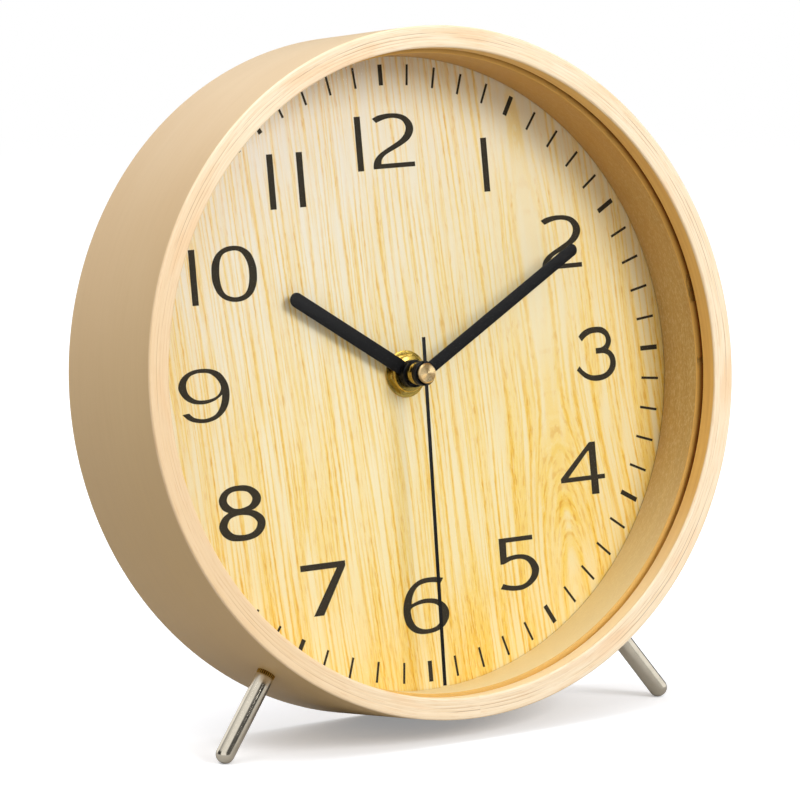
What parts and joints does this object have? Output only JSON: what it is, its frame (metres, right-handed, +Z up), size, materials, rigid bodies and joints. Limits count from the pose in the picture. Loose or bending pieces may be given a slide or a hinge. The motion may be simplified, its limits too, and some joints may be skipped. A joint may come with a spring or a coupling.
{
  "type": "table clock",
  "caption": "Round wooden table clock that leans back on two metal pegs, with a deep open-backed drum, a numbered dial under glass, three hands and a quartz movement.",
  "frame": {"origin": "middle of the bounding box's base, on the surface the clock stands on", "axes": "+X to the dial's 3 o'clock side as the viewer sees it, -Y the side the dial faces, +Y the back, +Z up"},
  "size_m": [0.203, 0.0764, 0.2075],
  "materials": {
    "bent_plywood": "smooth bent plywood with a clear satin finish",
    "liner_wood": "satin wood veneer",
    "dial_veneer": "matt printed oak grain with dark numerals",
    "fibreboard": "raw brown fibreboard",
    "lens_glass": "clear flat mineral glass",
    "polished_nickel": "polished nickel plate",
    "brass": "turned bright brass",
    "black_rubber": "matt rubber",
    "black_hand_paint": "satin black paint",
    "black_plastic": "fine-grained black plastic",
    "white_plastic": "natural acetal plastic",
    "steel": "bright steel",
    "magnet": "sintered dark magnet",
    "copper_wire": "enamelled copper wire",
    "green_board": "green circuit board",
    "black_resin": "glossy black potting resin",
    "crystal_can": "bright tin-plated can",
    "battery_sleeve": "plain metallic sleeve"
  },
  "bodies": {
    "case": {"case_drum": "bent_plywood", "glass_lens": "lens_glass", "spacer_ring": "liner_wood", "dial_face": "dial_veneer", "dial_board": "fibreboard", "retaining_hoop": "liner_wood", "peg_left": "polished_nickel", "peg_insert_left": "brass", "peg_right": "polished_nickel", "peg_insert_right": "brass", "threaded_bush": "brass", "dial_washer": "brass", "rubber_gasket": "black_rubber", "hex_nut": "brass", "movement_shell": "black_plastic", "movement_cover": "black_plastic", "train_plate": "white_plastic", "stator": "steel", "coil_core": "steel", "coil_bobbin": "white_plastic", "coil_winding": "copper_wire", "circuit_board": "green_board", "circuit_chip": "black_resin", "quartz_crystal": "crystal_can", "battery_cell": "battery_sleeve", "contact_positive": "steel", "contact_negative": "steel"},
    "second_hand": {"second_hand": "black_hand_paint", "second_cap": "brass", "second_arbor": "steel", "second_wheel": "white_plastic"},
    "minute_hand": {"minute_hand": "black_hand_paint", "minute_collet": "brass", "cannon_pinion": "white_plastic", "clutch_washer": "steel"},
    "hour_hand": {"hour_hand": "black_hand_paint", "hour_wheel": "white_plastic"},
    "time_setting": {"transfer_wheel": "white_plastic", "setting_knob": "black_plastic"},
    "centre_wheel": {"centre_wheel": "white_plastic"},
    "third_wheel": {"third_wheel": "white_plastic"},
    "intermediate_wheel": {"intermediate_wheel": "white_plastic"},
    "rotor": {"rotor_pinion": "white_plastic", "rotor_magnet": "magnet"}
  },
  "joints": [
    {"name": "second_hand_turn", "type": "hinge", "parent": "case", "child": "second_hand", "pos_m": [0, 0.01226, 0.10198], "axis": [0, 0.9896, -0.1435], "continuous": true},
    {"name": "minute_hand_turn", "type": "hinge", "parent": "case", "child": "minute_hand", "pos_m": [0, 0.01226, 0.10198], "axis": [0, 0.9896, -0.1435], "continuous": true},
    {"name": "hour_hand_turn", "type": "hinge", "parent": "case", "child": "hour_hand", "pos_m": [0, 0.01226, 0.10198], "axis": [0, 0.9896, -0.1435], "continuous": true},
    {"name": "setting_knob_turn", "type": "hinge", "parent": "case", "child": "time_setting", "pos_m": [0.012, 0.01226, 0.10198], "axis": [0, 0.9896, -0.1435], "continuous": true},
    {"name": "centre_wheel_turn", "type": "hinge", "parent": "case", "child": "centre_wheel", "pos_m": [0, 0.01226, 0.10198], "axis": [0, 0.9896, -0.1435], "continuous": true},
    {"name": "third_wheel_turn", "type": "hinge", "parent": "case", "child": "third_wheel", "pos_m": [0.00576, 0.01369, 0.11185], "axis": [0, 0.9896, -0.1435], "continuous": true},
    {"name": "intermediate_wheel_turn", "type": "hinge", "parent": "case", "child": "intermediate_wheel", "pos_m": [-0.01039, 0.01312, 0.10792], "axis": [0, 0.9896, -0.1435], "continuous": true},
    {"name": "rotor_turn", "type": "hinge", "parent": "case", "child": "rotor", "pos_m": [-0.01616, 0.01395, 0.11363], "axis": [0, 0.9896, -0.1435], "continuous": true}
  ],
  "couplings": [
    {"joint": "intermediate_wheel_turn", "follows": "second_hand_turn", "ratio": -4},
    {"joint": "rotor_turn", "follows": "second_hand_turn", "ratio": 30},
    {"joint": "third_wheel_turn", "follows": "second_hand_turn", "ratio": -0.125},
    {"joint": "centre_wheel_turn", "follows": "second_hand_turn", "ratio": 0.016667},
    {"joint": "setting_knob_turn", "follows": "minute_hand_turn", "ratio": -0.33333},
    {"joint": "hour_hand_turn", "follows": "minute_hand_turn", "ratio": 0.083333}
  ]
}
